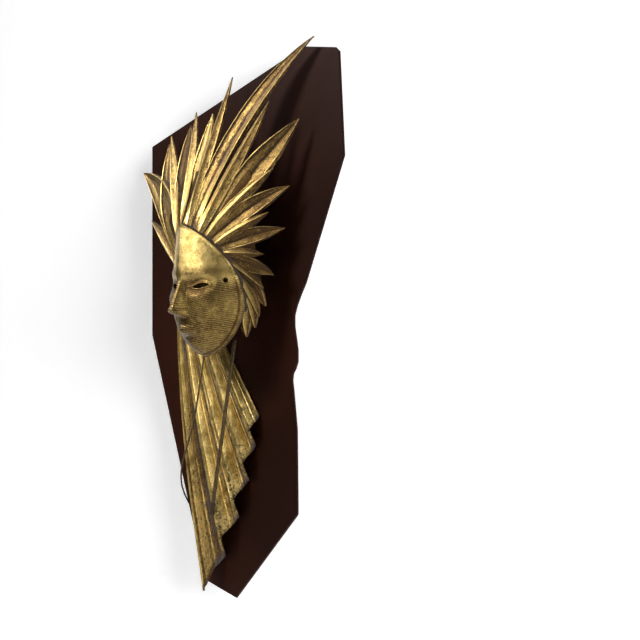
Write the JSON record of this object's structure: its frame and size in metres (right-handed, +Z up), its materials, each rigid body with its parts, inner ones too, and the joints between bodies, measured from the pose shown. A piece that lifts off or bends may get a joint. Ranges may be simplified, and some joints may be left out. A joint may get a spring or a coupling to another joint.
{
  "type": "starburst wall mask",
  "caption": "Cast gilt mask with a burst of leaf-shaped rays, a pleated cape and two ribbons, mounted on an irregular dark lacquered wall panel.",
  "frame": {"origin": "on the panel's flat back, behind the middle of the mask at the height of its eyes", "axes": "+Z up, +Y into the wall, square to the panel's back; the mask looks along -Y and +X is to the right of someone facing it"},
  "size_m": [0.5084, 0.1725, 0.963],
  "materials": {
    "panel_lacquer": "dark oxblood lacquer, satin",
    "gilt_bronze": "gilt cast metal, worn, with dark patina in the hollows",
    "dark_bronze": "dark patinated cast metal"
  },
  "bodies": {
    "root": {"panel": "panel_lacquer", "burst": "gilt_bronze", "mask": "gilt_bronze", "cape": "gilt_bronze", "ribbon_near": "dark_bronze", "ribbon_far": "dark_bronze"}
  },
  "joints": []
}
